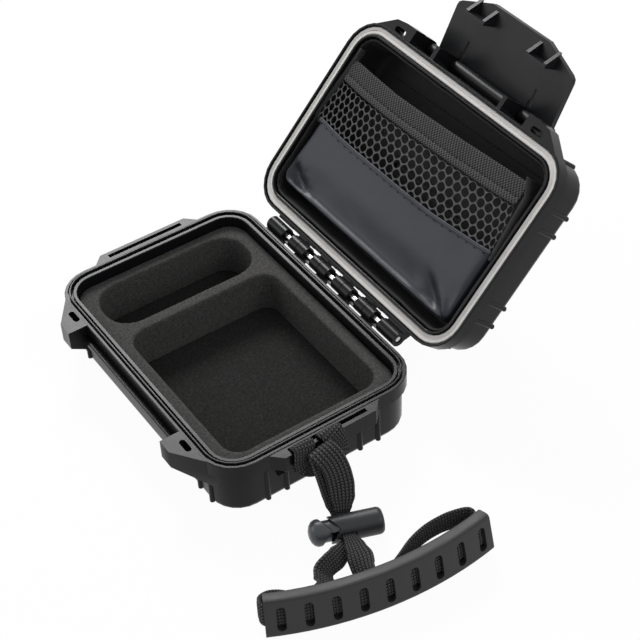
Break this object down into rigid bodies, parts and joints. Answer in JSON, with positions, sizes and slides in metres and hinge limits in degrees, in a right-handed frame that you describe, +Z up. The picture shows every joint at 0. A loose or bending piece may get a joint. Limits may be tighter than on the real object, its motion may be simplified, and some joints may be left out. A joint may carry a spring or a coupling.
{
  "type": "miniature carry case",
  "caption": "Small hinged hard case lying open, with a wide fold-out latch, pocketed foam, a netted lid pocket and a braided hand strap with a cord lock and a slotted grip.",
  "frame": {"origin": "middle of the underside of the base shell, on the floor", "axes": "+X along the hinge towards the strap, -Y towards the latch side of the base, +Z up"},
  "size_m": [0.2427, 0.2449, 0.1313],
  "materials": {
    "black_shell_plastic": "fine moulded grain, satin",
    "black_latch_plastic": "fine moulded grain, satin",
    "steel_pin": "bright drawn wire",
    "white_seal_rubber": "matt, off-white",
    "charcoal_foam": "matt, fine open cells",
    "black_lining": "matt lining",
    "black_coated_cloth": "coated cloth, slight sheen",
    "black_net": "open net",
    "black_elastic": "woven elastic",
    "black_braid": "flat braid",
    "black_lock_plastic": "satin",
    "black_grip_rubber": "matt moulded rubber"
  },
  "bodies": {
    "base": {"base_shell": "black_shell_plastic", "hinge_pin": "steel_pin", "foam_base_pad": "charcoal_foam", "foam_insert": "charcoal_foam", "strap_hitch": "black_braid", "strap_leg_front": "black_braid", "strap_leg_back": "black_braid", "strap_in_grip": "black_braid", "strap_tail_left": "black_braid", "strap_tail_right": "black_braid", "hand_grip": "black_grip_rubber"},
    "lid": {"lid_shell": "black_shell_plastic", "lid_seal": "white_seal_rubber", "latch_pin": "steel_pin", "lid_liner": "black_lining", "liner_piping": "black_coated_cloth", "pocket_panel": "black_coated_cloth", "pocket_mesh": "black_net", "pocket_band": "black_elastic", "pocket_side_left": "black_coated_cloth", "pocket_side_right": "black_coated_cloth"},
    "latch": {"latch_flap": "black_latch_plastic"},
    "cord_lock": {"cord_lock_body": "black_lock_plastic", "cord_lock_spring": "steel_pin"},
    "lock_button": {"cord_lock_button": "black_lock_plastic"}
  },
  "joints": [
    {"name": "lid_hinge", "type": "hinge", "parent": "base", "child": "lid", "pos_m": [0, 0.0585, 0.0307], "axis": [1, 0, 0], "range_deg": [0, 133.5]},
    {"name": "latch_hinge", "type": "hinge", "parent": "lid", "child": "latch", "pos_m": [0, 0.14914, 0.10254], "axis": [1, 0, 0], "range_deg": [-28, 74.7]},
    {"name": "cord_lock_slide", "type": "slide", "parent": "base", "child": "cord_lock", "axis": [-0.933, 0.36, 0], "range_m": [0, 0.012], "deforming": ["strap_leg_front", "strap_leg_back", "strap_tail_left", "strap_tail_right"]},
    {"name": "button_press", "type": "slide", "parent": "cord_lock", "child": "lock_button", "axis": [0.36, 0.933, 0], "range_m": [0, 0.0035], "stiffness_N_per_m": 300, "deforming": ["cord_lock_spring"]}
  ]
}
